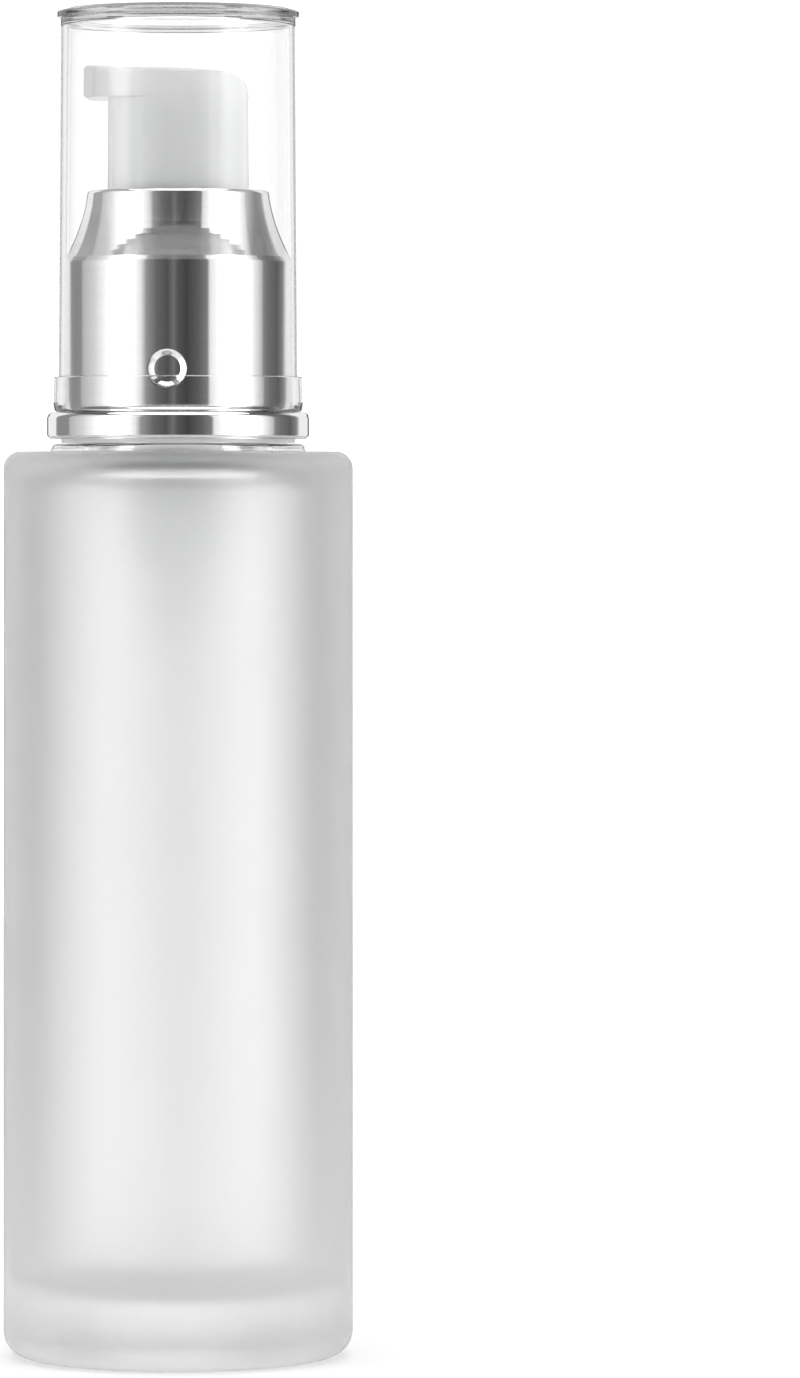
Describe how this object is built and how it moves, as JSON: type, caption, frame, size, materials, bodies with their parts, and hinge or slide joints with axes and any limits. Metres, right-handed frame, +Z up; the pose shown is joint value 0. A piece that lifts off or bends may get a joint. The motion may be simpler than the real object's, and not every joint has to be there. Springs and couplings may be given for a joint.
{
  "type": "foundation bottle",
  "caption": "Frosted glass foundation bottle with a silver-collared treatment pump, white side nozzle and clear overcap.",
  "frame": {"origin": "centre of the glass body at the plane it stands on", "axes": "+Z up along the bottle's axis, nozzle towards -X"},
  "size_m": [0.037, 0.037, 0.1428],
  "materials": {
    "frosted_glass": "acid-etched outside, smooth inside",
    "silver_aluminium": "bright silver anodised aluminium, mirror polished",
    "clear_plastic": "clear styrene plastic, polished",
    "white_plastic": "white polypropylene, glossy",
    "natural_plastic": "unpigmented polypropylene, milky",
    "tube_plastic": "unpigmented polyethylene, milky",
    "spring_steel": "drawn stainless wire",
    "ball_steel": "ground stainless steel",
    "seal_rubber": "moulded nitrile rubber, matt",
    "gasket_foam": "white foamed polyethylene"
  },
  "bodies": {
    "glass": {"bottle": "frosted_glass"},
    "pump": {"pump_housing": "natural_plastic", "chaplet": "natural_plastic", "stem_seal": "seal_rubber", "neck_gasket": "gasket_foam", "dip_tube": "tube_plastic", "spring": "spring_steel"},
    "collar": {"closure": "white_plastic", "collar_shell": "silver_aluminium", "base_ring": "silver_aluminium"},
    "cap": {"overcap": "clear_plastic"},
    "plunger": {"piston": "natural_plastic"},
    "head": {"actuator": "white_plastic", "stem": "natural_plastic", "valve_rod": "natural_plastic"},
    "ball": {"check_ball": "ball_steel"}
  },
  "joints": [
    {"name": "pump_rise", "type": "slide", "parent": "glass", "child": "pump", "axis": [0, 0, 1], "range_m": [0, 0.0048]},
    {"name": "unscrew", "type": "hinge", "parent": "pump", "child": "collar", "pos_m": [0, 0, 0.1], "axis": [0, 0, 1], "range_deg": [0, 540]},
    {"name": "cap_lift", "type": "slide", "parent": "collar", "child": "cap", "axis": [0, 0, 1], "range_m": [0, 0.045]},
    {"name": "press", "type": "slide", "parent": "pump", "child": "plunger", "axis": [0, 0, -1], "range_m": [0, 0.005], "stiffness_N_per_m": 700, "springref_m": -0.004, "deforming": ["spring"]},
    {"name": "swivel", "type": "hinge", "parent": "plunger", "child": "head", "pos_m": [0, 0, 0.13], "axis": [0, 0, 1], "continuous": true},
    {"name": "ball_lift", "type": "slide", "parent": "pump", "child": "ball", "axis": [0, 0, 1], "range_m": [0, 0.0012]}
  ],
  "couplings": [
    {"joint": "pump_rise", "follows": "unscrew", "m_per_rad": 0.00050532}
  ]
}
